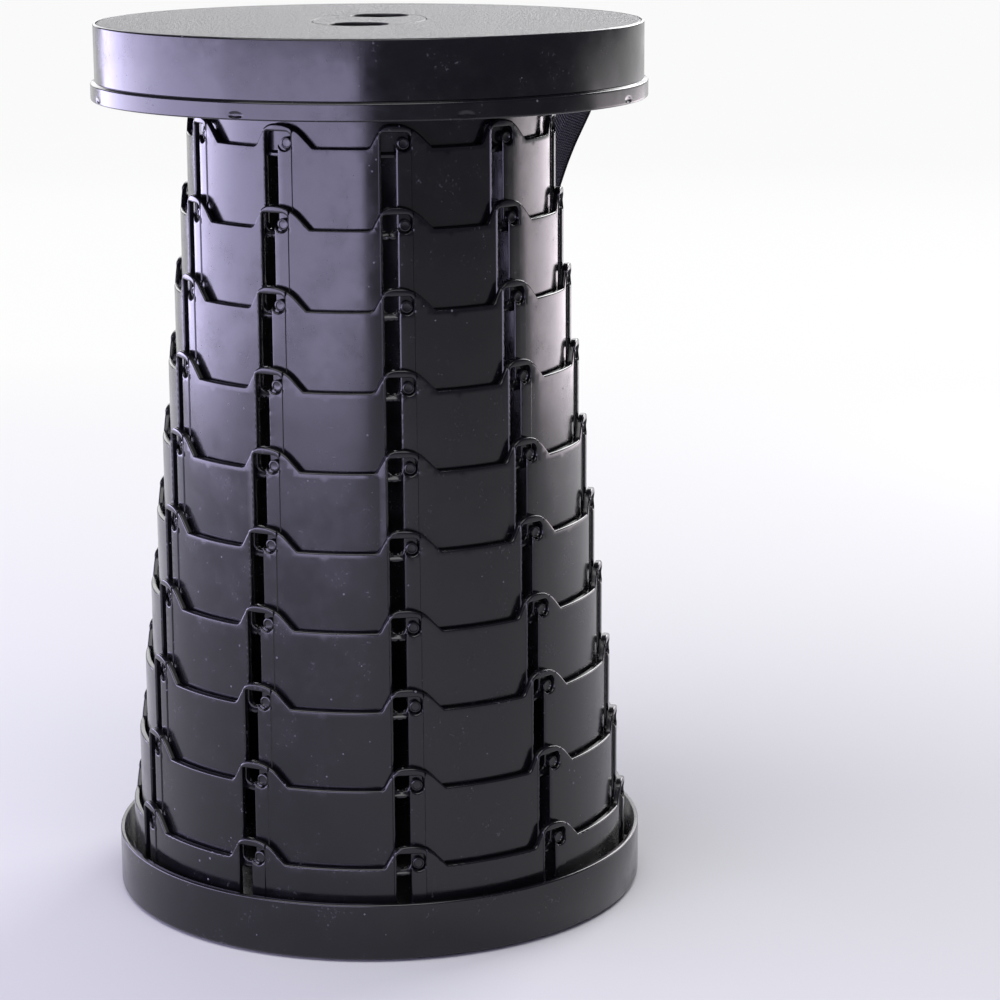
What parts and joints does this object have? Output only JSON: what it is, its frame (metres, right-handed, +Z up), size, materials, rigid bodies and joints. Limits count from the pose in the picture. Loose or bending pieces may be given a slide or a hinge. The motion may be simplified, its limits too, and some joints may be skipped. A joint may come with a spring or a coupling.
{
  "type": "collapsible telescopic stool",
  "caption": "Round-seated stool that telescopes flat: eleven slotted plastic rings between a lipped seat and a shallow tray, with a webbing carrying strap.",
  "frame": {"origin": "on the ground, at the middle of the central rubber pad's underside", "axes": "+Z up through the middle of the seat; -Y is the front; the strap hangs at the back (+Y)"},
  "size_m": [0.282, 0.3072, 0.452],
  "materials": {
    "gloss_plastic": "gloss black, injection moulded",
    "grained_plastic": "black, pebble grain",
    "buckle_plastic": "satin black, moulded",
    "webbing": "black, woven",
    "rubber": "matt black",
    "steel": "nickel plated"
  },
  "bodies": {
    "base": {"base_tray": "gloss_plastic", "rubber_feet": "rubber", "base_screws": "steel", "tier_ring_10": "gloss_plastic"},
    "tier_9": {"tier_ring_9": "gloss_plastic"},
    "tier_8": {"tier_ring_8": "gloss_plastic"},
    "tier_7": {"tier_ring_7": "gloss_plastic"},
    "tier_6": {"tier_ring_6": "gloss_plastic"},
    "tier_5": {"tier_ring_5": "gloss_plastic"},
    "tier_4": {"tier_ring_4": "gloss_plastic"},
    "tier_3": {"tier_ring_3": "gloss_plastic"},
    "tier_2": {"tier_ring_2": "gloss_plastic"},
    "tier_1": {"tier_ring_1": "gloss_plastic"},
    "seat": {"tier_ring_0": "gloss_plastic", "seat_cover": "gloss_plastic", "seat_panel": "grained_plastic", "finger_plate": "grained_plastic", "clamp_ring": "gloss_plastic", "seat_screws": "steel", "strap_tab_left": "webbing", "strap_tab_right": "webbing", "strap_rivets": "steel", "strap_loop": "webbing"},
    "buckle": {"strap_buckle": "buckle_plastic"}
  },
  "joints": [
    {"name": "tier_9_slide", "type": "slide", "parent": "base", "child": "tier_9", "axis": [0, 0, 1], "range_m": [-0.037, 0], "deforming": ["strap_loop"]},
    {"name": "tier_8_slide", "type": "slide", "parent": "tier_9", "child": "tier_8", "axis": [0, 0, 1], "range_m": [-0.039, 0]},
    {"name": "tier_7_slide", "type": "slide", "parent": "tier_8", "child": "tier_7", "axis": [0, 0, 1], "range_m": [-0.039, 0]},
    {"name": "tier_6_slide", "type": "slide", "parent": "tier_7", "child": "tier_6", "axis": [0, 0, 1], "range_m": [-0.039, 0]},
    {"name": "tier_5_slide", "type": "slide", "parent": "tier_6", "child": "tier_5", "axis": [0, 0, 1], "range_m": [-0.039, 0]},
    {"name": "tier_4_slide", "type": "slide", "parent": "tier_5", "child": "tier_4", "axis": [0, 0, 1], "range_m": [-0.039, 0]},
    {"name": "tier_3_slide", "type": "slide", "parent": "tier_4", "child": "tier_3", "axis": [0, 0, 1], "range_m": [-0.039, 0]},
    {"name": "tier_2_slide", "type": "slide", "parent": "tier_3", "child": "tier_2", "axis": [0, 0, 1], "range_m": [-0.039, 0]},
    {"name": "tier_1_slide", "type": "slide", "parent": "tier_2", "child": "tier_1", "axis": [0, 0, 1], "range_m": [-0.039, 0]},
    {"name": "seat_slide", "type": "slide", "parent": "tier_1", "child": "seat", "axis": [0, 0, 1], "range_m": [-0.039, 0]},
    {"name": "buckle_slide", "type": "slide", "parent": "seat", "child": "buckle", "axis": [0, 0, 1], "range_m": [0, 0.046]}
  ],
  "couplings": [
    {"joint": "tier_8_slide", "follows": "tier_9_slide", "ratio": 1.0541},
    {"joint": "tier_7_slide", "follows": "tier_9_slide", "ratio": 1.0541},
    {"joint": "tier_6_slide", "follows": "tier_9_slide", "ratio": 1.0541},
    {"joint": "tier_5_slide", "follows": "tier_9_slide", "ratio": 1.0541},
    {"joint": "tier_4_slide", "follows": "tier_9_slide", "ratio": 1.0541},
    {"joint": "tier_3_slide", "follows": "tier_9_slide", "ratio": 1.0541},
    {"joint": "tier_2_slide", "follows": "tier_9_slide", "ratio": 1.0541},
    {"joint": "tier_1_slide", "follows": "tier_9_slide", "ratio": 1.0541},
    {"joint": "seat_slide", "follows": "tier_9_slide", "ratio": 1.0541},
    {"joint": "buckle_slide", "follows": "tier_9_slide", "ratio": -1.2432}
  ]
}
